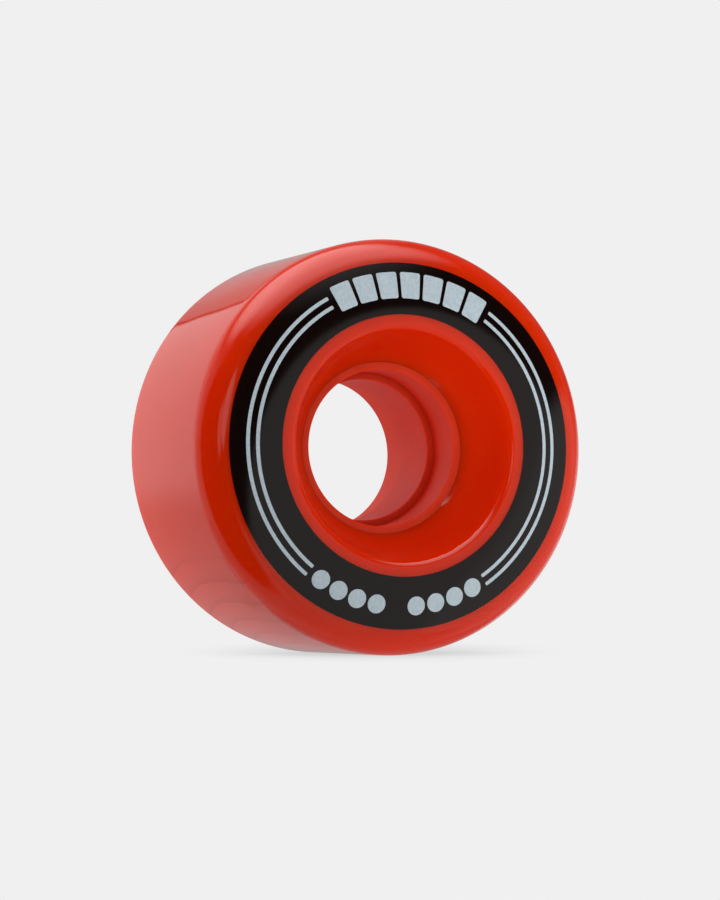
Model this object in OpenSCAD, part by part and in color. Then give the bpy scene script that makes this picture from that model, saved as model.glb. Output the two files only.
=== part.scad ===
// Bare wheel of a four-wheel roller skate, without its bearings.
// A cast polyurethane tyre grips a hub core that has a bearing seat at each end.
// The front face is printed: a black band, pale stripes, bars and dots.
// The wheel spins about Y, with its printed front towards -Y and +Z up.

/* [Tyre] */
// Diameter over the tread
wheel_d = 58; // [54:0.5:66]
// Width from the crest of the bowl's rim to the back face
wheel_w = 32; // [29:0.5:38]
// Radius of the rounded front corner of the tread
front_corner_r = 4.2; // [3:0.1:6]
// Radius of the tight back corner of the tread
back_corner_r = 0.6; // [0.3:0.1:2]
// Slope of the front face where it leaves the bowl's rim, in degrees
rim_slope = 4; // [2:0.5:6]
// Radius of the crown of the front face, from the bowl's rim to the front corner
face_crown_r = 48.5; // [42:0.5:60]

/* [Bowl] */
// Radius of the crest of the bowl's rim
bowl_rim_r = 16.9; // [16:0.1:18]
// Rounding over the crest of the rim
bowl_rim_round = 1; // [0.5:0.1:1.5]
// Angle between the bowl's wall and the axle, in degrees
bowl_wall_angle = 20; // [15:1:24]
// Radius of the hollow curve at the foot of the bowl's wall
bowl_foot_round = 4; // [2:0.25:6]

/* [Bearing seats] */
// Bore of a bearing seat, which is the outside of a bearing
seat_d = 22; // [21:0.05:23]
// Depth of a bearing seat, which is the width of a bearing
seat_depth = 7; // [6:0.1:8]
// Bore of the web between the two seats
web_bore_d = 20; // [16:0.1:20.5]
// Width of the web, which holds the bearings apart
web_w = 10; // [9:0.1:11]
// Lead-in chamfer at the mouth of a seat
seat_chamfer = 0.3; // [0.1:0.05:0.5]

/* [Hub core] */
// Wall of the core round a bearing seat, seen as a flat land round its mouth
core_wall = 1; // [0.8:0.1:1.5]
// Number of ribs round the core that the tyre is cast over
rib_count = 3; // [2:1:4]
// Width of a rib
rib_w = 2.4; // [1.6:0.2:3.2]
// Height of a rib above the core's tube
rib_h = 3; // [2:0.25:4]
// Number of keyways cut across the ribs, which stop the tyre turning on the core
keyway_count = 12; // [8:1:16]
// Radius of a keyway
keyway_r = 1.2; // [0.8:0.1:1.6]

/* [Print] */
// Thickness of one layer of ink
ink_t = 0.05; // [0.03:0.01:0.1]
// Bare ring of face between the rim's crest and the black band
band_gap_in = 1.2; // [0.6:0.1:2]
// Bare ring of face between the black band and the front corner's curve
band_gap_out = 0.5; // [0.2:0.05:1]
// Width of a stripe
stripe_w = 0.5; // [0.3:0.05:0.7]
// From the band's outer edge to the outer stripe
stripe_inset = 2.25; // [1.8:0.05:2.6]
// Gap between the outer and the inner stripe
stripe_gap = 0.85; // [0.5:0.05:1.2]
// Where the stripes begin, in degrees from the top of the print
stripe_start = 32; // [28:1:40]
// Where the stripes end, in degrees from the top of the print
stripe_end = 144; // [130:1:146]
// Number of bars between the stripes at the top
bar_count = 7; // [3:2:7]
// Angle that one bar covers, in degrees
bar_angle = 7.3; // [4:0.1:7.6]
// Angle from one bar to the next, in degrees
bar_pitch = 8.7; // [8:0.1:9]
// Length of a bar along the wheel's radius
bar_l = 3.7; // [2:0.1:4.4]
// Number of dots in each of the two groups at the bottom
dot_count = 4; // [1:1:4]
// Diameter of a dot
dot_d = 2.6; // [1.6:0.1:2.8]
// Angle from one dot to the next, in degrees
dot_pitch = 7.7; // [7.4:0.1:8]
// Turn of the whole print from upright, clockwise seen from the front, in degrees
print_turn = 6; // [0:0.5:359]

/* [Hidden] */
$fn = 192;

red = [0.80, 0.16, 0.07];
core_red = [0.75, 0.24, 0.18];
black_ink = [0.10, 0.08, 0.08];
pale_ink = [0.82, 0.87, 0.90];

// Sections are drawn as [radius, height above the wheel's middle plane].
tread_r = wheel_d / 2;
front_z = wheel_w / 2;
back_z = -front_z;
seat_r = seat_d / 2;
web_r = web_bore_d / 2;
core_r = seat_r + core_wall;
core_l = 2 * seat_depth + web_w;
mouth_z = back_z + core_l;
// How far a cut runs past the face that it opens in
past = 1;

// The rim's crest is rounded by a disc that the face and the bowl's wall both touch.
rim_c = [bowl_rim_r, front_z - bowl_rim_round];
outwards = [1, 0];
backwards = [0, -1];
rim_normal = [sin(rim_slope), cos(rim_slope)];
wall_normal = [-cos(bowl_wall_angle), sin(bowl_wall_angle)];
wall_up = [sin(bowl_wall_angle), cos(bowl_wall_angle)];
rim_wall = rim_c + bowl_rim_round * wall_normal;
rim_turn = 90 + rim_slope - bowl_wall_angle;
rim_corner = rim_wall + bowl_rim_round * tan(rim_turn / 2) * wall_up;

// The foot's curve touches the wall and ends at the edge of the core's land.
foot = [core_r, mouth_z];
foot_off_wall = (foot - rim_wall) * wall_normal;
foot_rise = sqrt(max(0, pow(bowl_foot_round, 2) - pow(bowl_foot_round - foot_off_wall, 2)));
foot_c = foot + (bowl_foot_round - foot_off_wall) * wall_normal + foot_rise * wall_up;
foot_wall = foot_c - bowl_foot_round * wall_normal;

// The face's crown runs on from the rim's curve, and the front corner's disc touches it and the tread.
crown_c = rim_c - (face_crown_r - bowl_rim_round) * rim_normal;
corner_r = tread_r - front_corner_r;
edge_slope = asin((corner_r - crown_c[0]) / (face_crown_r - front_corner_r));
edge_normal = [sin(edge_slope), cos(edge_slope)];
corner_c = crown_c + (face_crown_r - front_corner_r) * edge_normal;
corner_face = corner_c + front_corner_r * edge_normal;
tread_corner = [tread_r, corner_face[1] - (tread_r - corner_face[0]) * tan(edge_slope)];
crown_slope = (rim_slope + edge_slope) / 2;
crown_reach = face_crown_r / cos((edge_slope - rim_slope) / 2);
crown_corner = crown_c + crown_reach * [sin(crown_slope), cos(crown_slope)];
back_corner_c = [tread_r - back_corner_r, back_z + back_corner_r];

rib_r = core_r + rib_h;
rib_pitch = core_l / rib_count;
// The keyways straddle the level line through the axle.
core_turn = 180 / keyway_count;

band_in = bowl_rim_r + band_gap_in;
band_out = corner_face[0] - band_gap_out;
outer_stripe_r = band_out - stripe_inset - stripe_w;
inner_stripe_r = outer_stripe_r - stripe_gap - stripe_w;
// The bars and dots are centred on the pair of stripes.
mark_r = (inner_stripe_r + outer_stripe_r + stripe_w) / 2;

// Lays a piece drawn face up, with its top along +Y, into the wheel's own frame, turned if need be.
module stand_up(turn = 0) {
    rotate([90, 0, 0])
        rotate([0, 0, turn])
            children();
}

// The waste outside a rounded corner, between the outward directions of its two sides.
module corner_waste(centre, r, side_a, side_b) {
    reach = 2 * r;
    difference() {
        polygon([
            centre, centre + reach * side_a, centre + reach * (side_a + side_b), centre + reach * side_b
        ]);
        translate(centre)
            circle(r);
    }
}

// Half of the tyre's section, solid down to the bearing seats.
module tyre_section() {
    difference() {
        polygon([
            [seat_r, mouth_z], foot, foot_wall, rim_corner, crown_corner, tread_corner,
            [tread_r, back_z], [seat_r, back_z]
        ]);
        translate(foot_c)
            circle(bowl_foot_round);
        corner_waste(rim_c, bowl_rim_round, wall_normal, rim_normal);
        corner_waste(crown_c, face_crown_r, rim_normal, edge_normal);
        corner_waste(corner_c, front_corner_r, edge_normal, outwards);
        corner_waste(back_corner_c, back_corner_r, outwards, backwards);
    }
}

// The core's ribbed outside; over lengthens its tube past both ends.
module core_outside(over = 0) {
    difference() {
        rotate_extrude()
            union() {
                translate([0, back_z - over])
                    square([core_r, core_l + 2 * over]);
                for (i = [0 : rib_count - 1])
                    translate([0, back_z + (i + 0.5) * rib_pitch - rib_w / 2])
                        square([rib_r, rib_w]);
            }
        for (i = [0 : keyway_count - 1])
            rotate([0, 0, i * 360 / keyway_count])
                translate([rib_r, 0, back_z])
                    cylinder(r = keyway_r, h = core_l);
    }
}

// One bearing seat with its chamfered mouth, opening upwards at z = 0.
module seat_cut() {
    translate([0, 0, -seat_depth])
        cylinder(r = seat_r, h = seat_depth + past);
    translate([0, 0, -seat_chamfer])
        cylinder(r1 = seat_r, r2 = seat_r + seat_chamfer + past, h = seat_chamfer + past);
}

module tyre() {
    color(red)
        stand_up(core_turn)
            difference() {
                rotate_extrude()
                    tyre_section();
                core_outside(past);
            }
}

module hub_core() {
    color(core_red)
        stand_up(core_turn)
            difference() {
                core_outside();
                translate([0, 0, back_z])
                    cylinder(r = web_r, h = core_l);
                translate([0, 0, mouth_z])
                    seat_cut();
                translate([0, 0, back_z])
                    mirror([0, 0, 1])
                        seat_cut();
            }
}

// Section of an ink film on the crowned face, on top of a number of layers.
module ink_section(r_in, r_out, layers) {
    under_r = face_crown_r + layers * ink_t;
    difference() {
        translate([r_in, corner_c[1]])
            square([r_out - r_in, front_z - corner_c[1]]);
        translate(crown_c)
            circle(under_r);
        corner_waste(crown_c, under_r + ink_t, rim_normal, edge_normal);
    }
}

// A printed arc of pale ink, from one angle to another, clockwise from the top of the print.
module pale_arc(r_in, r_out, from, to) {
    color(pale_ink)
        stand_up()
            rotate([0, 0, 90 - print_turn - to])
                rotate_extrude(angle = to - from)
                    ink_section(r_in, r_out, 1);
}

module print_band() {
    color(black_ink)
        stand_up()
            rotate_extrude()
                ink_section(band_in, band_out, 0);
}

module left_outer_stripe() {
    pale_arc(outer_stripe_r, outer_stripe_r + stripe_w, -stripe_end, -stripe_start);
}

module left_inner_stripe() {
    pale_arc(inner_stripe_r, inner_stripe_r + stripe_w, -stripe_end, -stripe_start);
}

module right_outer_stripe() {
    pale_arc(outer_stripe_r, outer_stripe_r + stripe_w, stripe_start, stripe_end);
}

module right_inner_stripe() {
    pale_arc(inner_stripe_r, inner_stripe_r + stripe_w, stripe_start, stripe_end);
}

module top_bars() {
    for (i = [0 : bar_count - 1]) {
        middle = (i - (bar_count - 1) / 2) * bar_pitch;
        pale_arc(mark_r - bar_l / 2, mark_r + bar_l / 2, middle - bar_angle / 2, middle + bar_angle / 2);
    }
}

module bottom_dots() {
    color(pale_ink)
        stand_up()
            for (side = [-1, 1], i = [1 : dot_count])
                rotate([0, 0, -90 - print_turn + side * i * dot_pitch])
                    intersection() {
                        rotate_extrude()
                            ink_section(mark_r - dot_d, mark_r + dot_d, 1);
                        translate([mark_r, 0, 0])
                            cylinder(d = dot_d, h = front_z + past);
                    }
}

tyre();
hub_core();
print_band();
left_outer_stripe();
left_inner_stripe();
right_outer_stripe();
right_inner_stripe();
top_bars();
bottom_dots();
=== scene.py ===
import math

import bmesh
import bpy
from mathutils import Matrix, Quaternion, Vector


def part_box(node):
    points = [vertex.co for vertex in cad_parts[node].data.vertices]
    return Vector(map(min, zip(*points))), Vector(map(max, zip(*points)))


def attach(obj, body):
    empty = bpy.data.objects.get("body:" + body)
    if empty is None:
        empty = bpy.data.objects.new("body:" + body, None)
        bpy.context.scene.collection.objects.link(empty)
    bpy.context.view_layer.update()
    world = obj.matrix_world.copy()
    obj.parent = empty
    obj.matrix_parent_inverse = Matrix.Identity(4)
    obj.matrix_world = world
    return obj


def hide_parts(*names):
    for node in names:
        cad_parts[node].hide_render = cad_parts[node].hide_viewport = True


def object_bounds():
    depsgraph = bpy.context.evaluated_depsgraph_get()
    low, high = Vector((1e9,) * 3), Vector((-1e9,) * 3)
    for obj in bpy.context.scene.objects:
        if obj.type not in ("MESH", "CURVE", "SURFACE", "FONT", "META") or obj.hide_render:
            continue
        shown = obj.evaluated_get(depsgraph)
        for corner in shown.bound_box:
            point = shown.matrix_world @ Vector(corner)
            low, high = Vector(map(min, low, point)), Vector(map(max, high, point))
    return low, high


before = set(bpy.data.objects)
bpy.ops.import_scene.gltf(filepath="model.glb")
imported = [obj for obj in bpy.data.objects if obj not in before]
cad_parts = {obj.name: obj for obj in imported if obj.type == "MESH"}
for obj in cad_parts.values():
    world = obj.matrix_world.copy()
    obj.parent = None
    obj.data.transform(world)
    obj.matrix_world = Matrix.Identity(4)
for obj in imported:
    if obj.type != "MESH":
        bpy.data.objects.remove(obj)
cad_low, cad_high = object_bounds()


# Hub core: the tube that the two bearings press into, moulded in a stiffer, duller urethane.
# It is turned as one ring with a seat at each end and a web between them, and keyways cross
# the ribs on its outside, so that the tyre that is cast over it can't turn.
mm = 0.001
axle = Vector((0, 1, 0))
lathe_steps = 240
facet_angle = math.radians(5)
facet_length = 0.5 * mm
merge_gap = 0.001 * mm
crisp_angle = math.radians(32)

core_low, core_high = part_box("hub_core")
core_front = core_low.y
core_back = core_high.y
seat_r = 11 * mm
seat_depth = 7 * mm
web_r = 10 * mm
core_r = 12 * mm
rib_r = 15 * mm
rib_w = 2.4 * mm
rib_count = 3
rib_skin = 0.01 * mm
keyway_r = 1.2 * mm
keyway_count = 12
seat_chamfer = 0.3 * mm
web_edge_r = 0.2 * mm
web_front = core_front + seat_depth
web_back = core_back - seat_depth
core_shades = (0.77, 0.043, 0.011), (0.83, 0.058, 0.018)
core_frost = 0.40, 0.54
core_shine = 0.15
# Painted shade in the core's creases: its colour, and how far it reaches.
painted_crease_colour = 0.34, 0.010, 0.002
painted_shade_reach = 2.5 * mm


def point(radius, depth):
    """A sharp corner of an outline."""
    return Vector((radius, depth)), 0, 0, 0


def arc(centre, radius, start, end):
    """A round stretch of an outline, with its angles in degrees from straight outwards."""
    return Vector(centre), radius, math.radians(start), math.radians(end)


def turn_on_lathe(outline):
    """Turns a closed outline of arcs and points, given as (radius, depth), round the axle."""
    bm = bmesh.new()
    first = tip = None
    for centre, radius, start, end in outline:
        place = centre + radius * Vector((math.cos(start), math.sin(start)))
        corner = bm.verts.new(place.to_3d())
        if tip:
            bm.edges.new((tip, corner))
        first = first or corner
        tip = corner
        if radius:
            sweep = abs(end - start)
            facets = math.ceil(max(sweep / facet_angle, sweep * radius / facet_length))
            swept = bmesh.ops.spin(
                bm, geom=[corner], cent=centre.to_3d(), axis=(0, 0, 1),
                angle=end - start, steps=facets
            )["geom_last"]
            tip = next(part for part in swept if isinstance(part, bmesh.types.BMVert))
    bm.edges.new((tip, first))
    for edge in list(bm.edges):
        cuts = math.floor(edge.calc_length() / (2 * facet_length))
        if cuts:
            bmesh.ops.subdivide_edges(bm, edges=[edge], cuts=cuts)
    bmesh.ops.spin(
        bm, geom=bm.verts[:] + bm.edges[:], cent=(0, 0, 0), axis=axle,
        angle=math.tau, steps=lathe_steps, use_merge=True
    )
    return bm


def core_outside():
    """The ribbed outside of the core, from its front end to its back end."""
    pitch = (core_back - core_front) / rib_count
    outline = []
    for i in range(rib_count):
        middle = core_front + (i + 0.5) * pitch
        outline += [
            point(core_r, middle - rib_w / 2), point(rib_r, middle - rib_w / 2),
            point(rib_r, middle + rib_w / 2), point(core_r, middle + rib_w / 2)
        ]
    return outline


def cut_keyways(bm):
    """Sinks half-round grooves into the tops of the ribs."""
    pitch = math.tau / keyway_count
    for vert in bm.verts:
        off_top = abs(math.hypot(vert.co.x, vert.co.z) - rib_r)
        if vert.co.y < core_front or off_top > rib_skin:
            continue
        turn = math.atan2(vert.co.z, vert.co.x)
        off = turn - pitch * (math.floor(turn / pitch) + 0.5)
        across = rib_r * math.sin(off)
        if abs(across) < keyway_r:
            sunk = rib_r * math.cos(off) - math.sqrt(keyway_r ** 2 - across ** 2)
            vert.co.x *= sunk / rib_r
            vert.co.z *= sunk / rib_r


def finished_piece(name, bm, material, node):
    """Closes a mesh, gives it its material and puts it in place of a CAD node."""
    bmesh.ops.remove_doubles(bm, verts=bm.verts[:], dist=merge_gap)
    bmesh.ops.recalc_face_normals(bm, faces=bm.faces[:])
    mesh = bpy.data.meshes.new(name)
    bm.to_mesh(mesh)
    bm.free()
    mesh.shade_smooth()
    mesh.set_sharp_from_angle(angle=crisp_angle)
    mesh.materials.append(material)
    piece = bpy.data.objects.new(name, mesh)
    bpy.context.scene.collection.objects.link(piece)
    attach(piece, "root")
    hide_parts(node)


def new_material(name):
    """A material with its node tree and its shader."""
    material = bpy.data.materials.new(name)
    material.use_nodes = True
    return material, material.node_tree, material.node_tree.nodes["Principled BSDF"]


def add_node(tree, kind, settings=None, **inputs):
    """A node with its settings, and each input set to a value or linked from a socket."""
    node = tree.nodes.new("ShaderNode" + kind)
    for key, value in (settings or {}).items():
        setattr(node, key, value)
    for key, value in inputs.items():
        numbered = key[0] == "_"
        socket = node.inputs[int(key[1:]) if numbered else key.replace("_", " ")]
        if isinstance(value, bpy.types.NodeSocket):
            tree.links.new(value, socket)
        else:
            socket.default_value = value
    return node


def vectors(tree, operation, first, second=(0, 0, 0)):
    """A Vector Math node."""
    return add_node(tree, "VectorMath", {"operation": operation}, _0=first, _1=second).outputs


def noise(tree, place, scale, detail):
    """A cloudy pattern."""
    return add_node(tree, "TexNoise", Vector=place, Scale=scale, Detail=detail).outputs[0]


def spread(tree, value, low, high, start=0, end=1):
    """Takes a value from one range to another, evenly."""
    return add_node(
        tree, "MapRange", Value=value, From_Min=start, From_Max=end, To_Min=low, To_Max=high
    ).outputs["Result"]


def round_the_axle(tree, place):
    """Coordinates of distance from the axle and depth, so that a pattern runs round the wheel."""
    radius = vectors(tree, "LENGTH", vectors(tree, "MULTIPLY", place, (1, 0, 1))[0])["Value"]
    depth = add_node(tree, "SeparateXYZ", _0=place).outputs["Y"]
    return add_node(tree, "CombineXYZ", X=radius, Y=depth).outputs[0]


def blotched(tree, factor, dark, light):
    """A colour that drifts between two shades."""
    ramp = add_node(tree, "ValToRGB", Fac=factor)
    ramp.color_ramp.elements[0].position = 0.3
    ramp.color_ramp.elements[0].color = (*dark, 1)
    ramp.color_ramp.elements[1].position = 0.7
    ramp.color_ramp.elements[1].color = (*light, 1)
    return ramp.outputs["Color"]


def mixed_colour(tree, factor, first, second):
    """A mix of two colours."""
    return add_node(
        tree, "Mix", {"data_type": "RGBA"}, _0=factor, _6=first, _7=second
    ).outputs[2]


def core_urethane():
    """Dull frosted red with fine rings from the lathe, and painted shade darkening its creases.
    """
    material, tree, shader = new_material("core_urethane")
    place = add_node(tree, "TexCoord").outputs["Object"]
    haze = noise(tree, place, 260, 4)
    turned = noise(tree, round_the_axle(tree, place), 2600, 3)
    drag = add_node(tree, "Bump", Strength=0.15, Distance=0.02 * mm, Height=turned)
    # Painted shade: the colour darkens towards creases and recesses, where little open air is
    # seen.
    open_side = add_node(
        tree, "AmbientOcclusion", {"samples": 8}, Distance=painted_shade_reach
    ).outputs["AO"]
    colour = blotched(tree, haze, *core_shades)
    colour = mixed_colour(tree, open_side, (*painted_crease_colour, 1), colour)
    tree.links.new(colour, shader.inputs["Base Color"])
    tree.links.new(spread(tree, haze, *core_frost), shader.inputs["Roughness"])
    tree.links.new(drag.outputs["Normal"], shader.inputs["Normal"])
    shader.inputs["Specular IOR Level"].default_value = core_shine
    return material


core_bore = [
    point(seat_r + seat_chamfer, core_back),
    point(seat_r, core_back - seat_chamfer),
    point(seat_r, web_back),
    arc((web_r + web_edge_r, web_back - web_edge_r), web_edge_r, 90, 180),
    arc((web_r + web_edge_r, web_front + web_edge_r), web_edge_r, 180, 270),
    point(seat_r, web_front),
    point(seat_r, core_front + seat_chamfer),
    point(seat_r + seat_chamfer, core_front),
]
core_bm = turn_on_lathe(
    [point(core_r, core_front), *core_outside(), point(core_r, core_back), *core_bore]
)
cut_keyways(core_bm)
finished_piece("hub_core_ring", core_bm, core_urethane(), "hub_core")


# Tyre: the body of the wheel, glossy red urethane cast in a polished mould over the hub core.
# Its outline runs from the foot of the bowl over the rim, along the crowned front face and
# round the front corner to the tread, then over a tight back corner to the flat back.
tyre_low, tyre_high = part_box("tyre")
tread_r = tyre_high.x
front = tyre_low.y
back = tyre_high.y
rim_r = 16.9 * mm
rim_round = 1 * mm
rim_slope = 4
wall_angle = 20
foot_round = 12 * mm
crown_round = 48.5 * mm
corner_round = 4.2 * mm
back_round = 0.6 * mm

tyre_shades = (0.80, 0.026, 0.0008), (0.87, 0.034, 0.0014)
tyre_polish = 0.04, 0.06
tyre_shine = 0.5
skin_weight = 0.8
skin_spread = 1.0, 0.2, 0.08
skin_depth = 6 * mm
tread_edge = 0.4 * mm
wave_height = 0.2 * mm
wave_crown = 0.6
# Painted reflection lines across one side of the tread: their count, bow, place and fade, and how
# much darker and less glossy they are.
reflection_line_count = 46
reflection_line_bow = 0.7
reflection_line_shift = -0.32
reflection_line_from = 30
reflection_line_to = 72
reflection_line_fade = 4
reflection_line_middle = -6 * mm
reflection_line_sharpness = 5
reflection_line_strength = 0.35
reflection_line_shine = 0.32
reflection_line_shade = 0.40, 0.012, 0.0006

rim_centre = Vector((rim_r, front + rim_round))
wall_normal = -Vector((math.cos(math.radians(wall_angle)), math.sin(math.radians(wall_angle))))
wall_up = Vector((-wall_normal.y, wall_normal.x))
foot = Vector((core_r, core_front))
foot_off_wall = (foot - rim_centre).dot(wall_normal) - rim_round
foot_rise = math.sqrt(foot_round ** 2 - (foot_round - foot_off_wall) ** 2)
foot_centre = foot + (foot_round - foot_off_wall) * wall_normal + foot_rise * wall_up
foot_start = math.degrees(math.atan2(foot.y - foot_centre.y, foot.x - foot_centre.x))

rim_normal = Vector((math.sin(math.radians(rim_slope)), -math.cos(math.radians(rim_slope))))
crown_centre = rim_centre - (crown_round - rim_round) * rim_normal
corner_r = tread_r - corner_round
corner_reach = crown_round - corner_round
edge_slope = math.asin((corner_r - crown_centre.x) / corner_reach)
corner_centre = Vector((corner_r, crown_centre.y - corner_reach * math.cos(edge_slope)))
edge_slope = math.degrees(edge_slope)
back_centre = Vector((tread_r - back_round, back - back_round))


def maths(tree, operation, first, second=0.0, third=0.0):
    """A Math node."""
    return add_node(
        tree, "Math", {"operation": operation}, _0=first, _1=second, _2=third
    ).outputs[0]


def eased(tree, value, start, end, low=0, high=1):
    """Takes a value from one range to another, with a soft start and end."""
    return add_node(
        tree, "MapRange", {"interpolation_type": "SMOOTHSTEP"}, Value=value,
        From_Min=start, From_Max=end, To_Min=low, To_Max=high
    ).outputs["Result"]


def painted_reflection_lines(tree, place, depth, swell):
    """Painted reflection lines: a mask of faint bowed lines across one side of the tread,
    standing in for dark lines reflected there.
    """
    below = add_node(tree, "SeparateXYZ", _0=vectors(tree, "MULTIPLY", place, (-1, 0, -1))[0])
    angle = maths(tree, "ARCTAN2", below.outputs["Z"], below.outputs["X"])
    off_middle = spread(tree, depth, 0, 1, reflection_line_middle, back)
    bow = maths(tree, "MULTIPLY", off_middle, off_middle)
    drift = maths(tree, "MULTIPLY_ADD", bow, -reflection_line_bow, swell)
    phase = maths(tree, "MULTIPLY_ADD", angle, reflection_line_count / math.tau, drift)
    phase = maths(tree, "FRACT", maths(tree, "ADD", phase, reflection_line_shift))
    line = maths(tree, "POWER", phase, reflection_line_sharpness)
    begun, ended = (
        eased(tree, angle, math.radians(limit - reflection_line_fade), math.radians(limit + reflection_line_fade))
        for limit in (reflection_line_from, reflection_line_to)
    )
    return maths(tree, "MULTIPLY", line, maths(tree, "SUBTRACT", begun, ended))


def tyre_urethane():
    """Deep clear red that light enters a little way, with faint rings left by the mould."""
    material, tree, shader = new_material("tyre_urethane")
    place = add_node(tree, "TexCoord").outputs["Object"]
    cloud = noise(tree, place, 45, 3)
    swell = noise(tree, place, 42, 1)
    rings = round_the_axle(tree, place)
    turned = noise(tree, rings, 900, 2)
    ripple = add_node(tree, "Bump", Strength=0.05, Distance=0.02 * mm, Height=turned).outputs[0]

    section = add_node(tree, "SeparateXYZ", _0=rings).outputs
    on_tread = spread(tree, section["X"], 0, 1, tread_r - tread_edge, tread_r)
    across = spread(tree, section["Y"], -1, 1, corner_centre.y, back)
    crown = maths(tree, "MULTIPLY", across, across)
    height = maths(tree, "MULTIPLY_ADD", crown, -wave_crown, swell)
    wave = add_node(
        tree, "Bump", Strength=on_tread, Distance=wave_height, Height=height, Normal=ripple
    )

    # Painted reflection lines: the tread is darkened and its gloss lowered along them.
    painted_lines = maths(tree, "MULTIPLY", on_tread, painted_reflection_lines(tree, place, section["Y"], swell))
    darker = spread(tree, painted_lines, 0, reflection_line_strength)
    colour = blotched(tree, cloud, *tyre_shades)
    colour = mixed_colour(tree, darker, colour, (*reflection_line_shade, 1))
    shine = spread(tree, painted_lines, tyre_shine, reflection_line_shine)

    tree.links.new(colour, shader.inputs["Base Color"])
    tree.links.new(spread(tree, cloud, *tyre_polish), shader.inputs["Roughness"])
    tree.links.new(shine, shader.inputs["Specular IOR Level"])
    tree.links.new(wave.outputs["Normal"], shader.inputs["Normal"])
    shader.inputs["Subsurface Weight"].default_value = skin_weight
    shader.inputs["Subsurface Radius"].default_value = skin_spread
    shader.inputs["Subsurface Scale"].default_value = skin_depth
    return material


tyre_bm = turn_on_lathe([
    arc(foot_centre, foot_round, foot_start, wall_angle),
    arc(rim_centre, rim_round, wall_angle - 180, rim_slope - 90),
    arc(crown_centre, crown_round, rim_slope - 90, edge_slope - 90),
    arc(corner_centre, corner_round, edge_slope - 90, 0),
    arc(back_centre, back_round, 0, 90),
    point(core_r, back),
    *reversed(core_outside()),
])
cut_keyways(tyre_bm)
finished_piece("tyre_body", tyre_bm, tyre_urethane(), "tyre")


# Print band: a film of black ink that a pad presses onto the crowned face, between the rim
# and the front corner. It dries to a smooth gloss with a crisp edge on both sides.
ink_t = 0.05 * mm
band_in = 18.1 * mm
band_out = 25.36 * mm
black_shades = (0.005, 0.0012, 0.0008), (0.007, 0.002, 0.0014)
black_polish = 0.06, 0.10


def face_depth(radius):
    """Depth of the crowned face at a distance from the axle."""
    return crown_centre.y - math.sqrt(crown_round ** 2 - (radius - crown_centre.x) ** 2)


def swept_film(r_in, r_out, start, end):
    """A flat ring or arc of film, with its angles in degrees clockwise from the top."""
    bm = bmesh.new()
    edge = bm.edges.new((bm.verts.new((0, 0, r_in)), bm.verts.new((0, 0, r_out))))
    bmesh.ops.subdivide_edges(bm, edges=[edge], cuts=math.ceil((r_out - r_in) / facet_length))
    bmesh.ops.rotate(
        bm, verts=bm.verts[:], cent=(0, 0, 0),
        matrix=Matrix.Rotation(math.radians(start), 3, axle)
    )
    sweep = math.radians(end - start)
    bmesh.ops.spin(
        bm, geom=bm.verts[:] + bm.edges[:], cent=(0, 0, 0), axis=axle, angle=sweep,
        steps=math.ceil(lathe_steps * sweep / math.tau), use_merge=end - start == 360
    )
    return bm


def press_on_face(bm, layer):
    """Lays flat film on the crowned face, over a number of layers, and thickens it."""
    for vert in bm.verts:
        vert.co.y = face_depth(math.hypot(vert.co.x, vert.co.z)) - layer * ink_t
    raised = bmesh.ops.extrude_face_region(bm, geom=bm.faces[:])
    top = [part for part in raised["geom"] if isinstance(part, bmesh.types.BMVert)]
    bmesh.ops.translate(bm, verts=top, vec=-ink_t * axle)


def ink(name, shades, polish):
    """Printing ink with a faint mottle in its colour and its gloss."""
    material, tree, shader = new_material(name)
    place = add_node(tree, "TexCoord").outputs["Object"]
    mottle = noise(tree, place, 2200, 3)
    film = noise(tree, place, 120, 2)
    grain = add_node(tree, "Bump", Strength=0.04, Distance=0.01 * mm, Height=mottle)
    tree.links.new(blotched(tree, mottle, *shades), shader.inputs["Base Color"])
    tree.links.new(spread(tree, film, *polish), shader.inputs["Roughness"])
    tree.links.new(grain.outputs["Normal"], shader.inputs["Normal"])
    return material


band_bm = swept_film(band_in, band_out, 0, 360)
press_on_face(band_bm, 0)
black_ink = ink("black_ink", black_shades, black_polish)
finished_piece("black_band", band_bm, black_ink, "print_band")


# Stripes: two thin lines on each side of the band, in a pale grey-blue ink.
# They are padded on over the black once it is dry, and each is one arc of film
# with softly rounded ends.
print_turn = 6
stripe_w = 0.5 * mm
outer_stripe_r = 22.61 * mm
inner_stripe_r = 21.26 * mm
stripe_start = 32
stripe_end = 144
stripe_end_r = 0.16 * mm
pale_shades = (0.52, 0.64, 0.70), (0.66, 0.76, 0.82)
pale_polish = 0.28, 0.42
pale_ink = ink("pale_ink", pale_shades, pale_polish)


def round_film_corners(bm, corner_r):
    """Rounds the square corners of flat film."""
    corners = [vert for vert in bm.verts if len(vert.link_faces) == 1]
    bmesh.ops.bevel(
        bm, geom=corners, offset=corner_r, offset_type="OFFSET", segments=5, profile=0.5,
        affect="VERTICES", material=-1
    )


for side, sign in (("left", -1), ("right", 1)):
    for lane, lane_r in (("outer", outer_stripe_r), ("inner", inner_stripe_r)):
        start, end = sorted((sign * stripe_start, sign * stripe_end))
        stripe_bm = swept_film(lane_r, lane_r + stripe_w, print_turn + start, print_turn + end)
        round_film_corners(stripe_bm, stripe_end_r)
        press_on_face(stripe_bm, 1)
        stripe = f"{side}_{lane}_stripe"
        finished_piece(f"{stripe}_ink", stripe_bm, pale_ink, stripe)


# Bars: a row of plain blocks between the stripes at the top of the print.
# They are the same pale film as the stripes, padded on with them, and each follows
# the band's curve.
mark_r = (inner_stripe_r + outer_stripe_r + stripe_w) / 2
bar_count = 7
bar_angle = 7.3
bar_pitch = 8.7
bar_l = 3.7 * mm
bar_corner_r = 0.3 * mm

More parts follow.
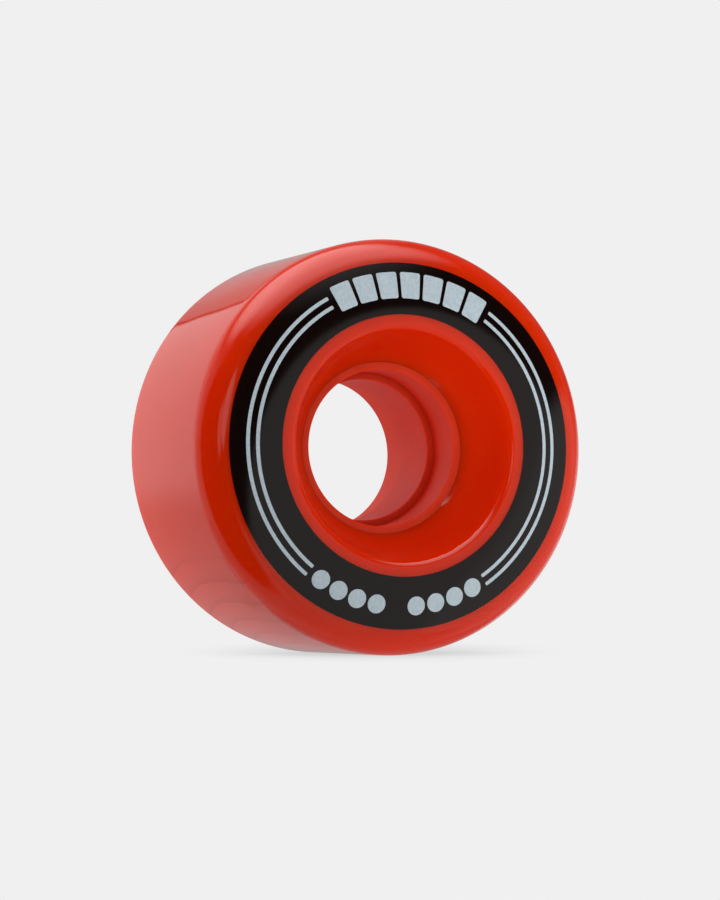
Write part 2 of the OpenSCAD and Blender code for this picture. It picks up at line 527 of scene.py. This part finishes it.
first_bar = print_turn - (bar_count - 1) / 2 * bar_pitch
bars_bm = swept_film(
    mark_r - bar_l / 2, mark_r + bar_l / 2, first_bar - bar_angle / 2, first_bar + bar_angle / 2
)
round_film_corners(bars_bm, bar_corner_r)
press_on_face(bars_bm, 1)
one_bar = bars_bm.verts[:] + bars_bm.edges[:] + bars_bm.faces[:]
for i in range(1, bar_count):
    copied = bmesh.ops.duplicate(bars_bm, geom=one_bar)["geom"]
    bmesh.ops.rotate(
        bars_bm, verts=[part for part in copied if isinstance(part, bmesh.types.BMVert)],
        cent=(0, 0, 0), matrix=Matrix.Rotation(math.radians(i * bar_pitch), 3, axle)
    )
finished_piece("top_bars_ink", bars_bm, pale_ink, "top_bars")


# Dots: two groups of plain round spots between the stripes at the bottom of the print.
# They are the same pale film as the bars, and are padded on with them.
dot_count = 4
dot_d = 2.6 * mm
dot_pitch = 7.7
dot_sides = 40

dots_bm = bmesh.new()
for side in (-1, 1):
    for i in range(1, dot_count + 1):
        turn = math.radians(180 + print_turn + side * i * dot_pitch)
        place = Matrix.Rotation(turn, 4, axle) @ Matrix.Translation((0, 0, mark_r))
        flat = place @ Matrix.Rotation(math.radians(90), 4, "X")
        bmesh.ops.create_circle(
            dots_bm, cap_ends=True, cap_tris=True, segments=dot_sides, radius=dot_d / 2,
            matrix=flat
        )
press_on_face(dots_bm, 1)
finished_piece("bottom_dots_ink", dots_bm, pale_ink, "bottom_dots")


# Studio: a wide sheet of pale paper that the wheel stands on, and that glows.
# It shows its plain colour to the camera, apart from a painted soft shadow of the wheel, and
# glows up at the wheel with painted light, brighter and darker in patches.
# It is turned round the axle, so that it lies level in the picture.
pale = 0.871
floor_size = 4
floor_turn = 3.26
shadow_lamp = Vector((-0.38, -0.88, 0.26))
shadow_reach = 160 * mm
shadow_depth = 0.38
shadow_softness = 0.4
shadow_centre = Vector((16, 38, 0)) * mm
shadow_turn = -23
shadow_stretch = 3.6
shadow_near = 4 * mm
shadow_far = 31 * mm
# Painted light that the floor glows with towards the wheel: a level, then patches brighter or
# darker than it, the last a painted shade near the wheel's foot.
floor_glow = 0.84
floor_patches = [
    # x, y, full within, gone beyond (mm), level
    (-70, -70, 35, 75, 0.29),
    (70, -70, 35, 75, 1.64),
    (-70, 70, 35, 75, 1.15),
    (-30, -24, 8, 36, 0.48),
]


def mixed_level(tree, factor, first, second):
    """A mix of two levels."""
    return add_node(
        tree, "Mix", {"data_type": "FLOAT"}, _0=factor, _2=first, _3=second
    ).outputs[0]


def painted_shadow_of_wheel(tree, ground):
    """A painted shadow of the wheel: 1 in the open, and less where the wheel stands close between
    the floor and the light.
    """
    sky = add_node(
        tree, "AmbientOcclusion", {"samples": 32}, Distance=shadow_reach,
        Normal=shadow_lamp.normalized()
    ).outputs["AO"]
    hidden = maths(tree, "POWER", maths(tree, "SUBTRACT", 1, sky), shadow_softness)
    pool = add_node(
        tree, "Mapping", {"vector_type": "TEXTURE"}, Vector=ground, Location=shadow_centre,
        Rotation=(0, 0, math.radians(shadow_turn)), Scale=(1, shadow_stretch, 1)
    ).outputs[0]
    off_centre = vectors(tree, "LENGTH", pool)["Value"]
    depth = eased(tree, off_centre, shadow_near, shadow_far, -shadow_depth, 0)
    return maths(tree, "MULTIPLY_ADD", hidden, depth, 1)


def floor_paper():
    """Pale paper that glows: to the camera its plain colour with a painted shadow, and towards
    the wheel painted light, lighter in some places than others.
    """
    material = bpy.data.materials.new("floor_paper")
    material.use_nodes = True
    tree = material.node_tree
    tree.nodes.clear()
    place = add_node(tree, "TexCoord").outputs["Object"]
    ground = vectors(tree, "MULTIPLY", place, (1, 1, 0))[0]
    glow = floor_glow
    for x, y, near, far, level in floor_patches:
        away = vectors(tree, "DISTANCE", ground, (x * mm, y * mm, 0))["Value"]
        glow = mixed_level(tree, eased(tree, away, near * mm, far * mm, 1, 0), glow, level)
    eye = add_node(tree, "LightPath").outputs["Is Camera Ray"]
    shown = mixed_level(tree, eye, glow, painted_shadow_of_wheel(tree, ground))
    paper = add_node(tree, "Emission", Color=(pale, pale, pale, 1), Strength=shown).outputs[0]
    add_node(tree, "OutputMaterial", Surface=paper)
    return material


floor_bm = bmesh.new()
bmesh.ops.create_grid(floor_bm, x_segments=1, y_segments=1, size=floor_size / 2)
bmesh.ops.translate(floor_bm, verts=floor_bm.verts[:], vec=(0, 0, cad_low.z))
bmesh.ops.rotate(
    floor_bm, verts=floor_bm.verts[:], cent=(0, 0, 0),
    matrix=Matrix.Rotation(math.radians(floor_turn), 3, axle)
)
floor_mesh = bpy.data.meshes.new("floor")
floor_bm.to_mesh(floor_mesh)
floor_bm.free()
floor_mesh.materials.append(floor_paper())
floor = bpy.data.objects.new("floor", floor_mesh)
bpy.context.scene.collection.objects.link(floor)
floor.visible_glossy = False


# Light: a pale room that lights the wheel softly, with bright and dark parts painted apart that
# only the wheel's gloss shows, as painted reflections.
# A wide softbox hangs over the wheel, and a small card lamp at the left reaches into the bowl.
room_light = [
    # azimuth, elevation, level, added up
    (-60, 5, 0.50),
    (0, 5, 0.21),
    (55, 7, 0.60),
    (120, 5, 0.40),
    (180, 5, 0.76),
    (-120, 5, 0.29),
    (-100, 52, 0.27),
    (100, 52, 0.15),
    (180, 52, 0.76),
]
room_light_reach = 30
# Painted reflections: the room that glossy rays alone see, painted over in turn with bright and
# dark patches.
room_gloss_level = 0.46
room_gloss = [
    # azimuth, elevation, reach, softness, level, each painted over the ones before
    (-158, 24, 30, 7, 0.74),
    (86, 0, 91, 0.4, 0.06),
    (86, 0, 90, 0.4, 0.33),
    (163, 11, 8, 6, 0.43),
    (180, -58, 52, 5, 0.40),
    (-150, -50, 32.8, 0.6, 0.24),
    (-150, -50, 32, 1.2, 0.36),
    (180, -60, 37.8, 0.6, 0.26),
    (180, -60, 37, 1.2, 0.44),
    (150, -50, 33, 1.5, 0.30),
    (128, -8, 22, 5, 0.8),
    (0, 90, 52, 4, 0.26),
    (20, 40, 60, 4, 0.02),
    (110, 30, 28, 6, 0.09),
    (-62, -6, 48, 6, 0.0),
    (26, -14, 29.5, 0.8, 0.46),
    (66, -24, 33, 2, 0.58),
    (20, -62, 28, 3, 0.36),
    (-17, 11, 8, 2, 1.1),
    (-31, 8, 7, 2, 0.75),
    (14, 48, 14, 14, 0.9),
    (12, 70, 29, 12, 2.2),
    (-110, 80, 30, 8, 2.9),
    (-95, 74, 11, 8, 3.7),
]
softbox_size = 0.82, 1.2
softbox_power = 3.2
softbox_side = 0, 82
softbox_distance = 0.7
card_power = 0.1
card_beam = 17
card_blend = 0.8
card_r = 8 * mm
card_aim = Vector((6, -12, 5)) * mm
card_side = -35, -12
card_distance = 0.11


def toward(azimuth, elevation):
    """The direction from the wheel, in degrees right of its front and up from the floor."""
    a, e = math.radians(azimuth), math.radians(elevation)
    return Vector((math.sin(a) * math.cos(e), -math.cos(a) * math.cos(e), math.sin(e)))


def patch(tree, azimuth, elevation, reach, softness):
    """1 within reach of a direction in the room, falling to 0 outside it."""
    direction = add_node(tree, "TexCoord").outputs["Generated"]
    facing = vectors(tree, "DOT_PRODUCT", direction, toward(azimuth, elevation))["Value"]
    outer, inner = (math.cos(math.radians(reach + off)) for off in (softness, -softness))
    return eased(tree, facing, outer, inner)


def hang_lamp(lamp, aim, side, distance):
    """Places a lamp on one side of a point and turns it to face the point."""
    hung = bpy.data.objects.new(lamp.name, lamp)
    hung.location = aim + distance * toward(*side)
    hung.rotation_euler = toward(*side).to_track_quat("Z", "Y").to_euler()
    hung.visible_glossy = False
    bpy.context.scene.collection.objects.link(hung)
    return hung


world = bpy.data.worlds.new("pale_room")
bpy.context.scene.world = world
world.use_nodes = True
room = world.node_tree
room.nodes.clear()
lit = 0.0
for azimuth, elevation, level in room_light:
    inside = patch(room, azimuth, elevation, room_light_reach, room_light_reach)
    lit = maths(room, "MULTIPLY_ADD", inside, level, lit)
mirrored = room_gloss_level
for azimuth, elevation, reach, softness, level in room_gloss:
    inside = patch(room, azimuth, elevation, reach, softness)
    mirrored = mixed_level(room, inside, mirrored, level)
ray = add_node(room, "LightPath").outputs
eye = maths(room, "MAXIMUM", ray["Is Camera Ray"], ray["Is Transmission Ray"])
unseen = mixed_level(room, ray["Is Glossy Ray"], lit, mirrored)
shown = mixed_level(room, eye, unseen, pale)
backdrop = add_node(room, "Background", Color=(1, 1, 1, 1), Strength=shown).outputs[0]
add_node(room, "OutputWorld", Surface=backdrop)

softbox = bpy.data.lights.new("softbox", "AREA")
softbox.shape = "RECTANGLE"
softbox.size, softbox.size_y = softbox_size
softbox.energy = softbox_power
hang_lamp(softbox, Vector((0, 0, 0)), softbox_side, softbox_distance)

card = bpy.data.lights.new("bowl_card", "SPOT")
card.energy = card_power
card.spot_size = math.radians(card_beam)
card.spot_blend = card_blend
card.shadow_soft_size = card_r
hang_lamp(card, card_aim, card_side, card_distance).visible_camera = False


# Camera: a long lens almost level with the wheel, a little to the left of its front.
# It has the viewing angle of the photograph.
camera_azimuth = -22.91
camera_elevation = -1.26
camera_roll = -3
camera_distance = 455.4 * mm
lens = bpy.data.cameras.new("camera")
lens.lens = 128
lens.sensor_width = 36
lens.clip_start = 10 * mm
camera = bpy.data.objects.new("camera", lens)
camera.location = camera_distance * toward(camera_azimuth, camera_elevation)
camera.rotation_mode = "QUATERNION"
aim = toward(camera_azimuth, camera_elevation).to_track_quat("Z", "Y")
camera.rotation_quaternion = aim @ Quaternion((0, 0, 1), math.radians(camera_roll))
bpy.context.scene.collection.objects.link(camera)
bpy.context.scene.camera = camera
bpy.context.scene.view_settings.view_transform = "Standard"
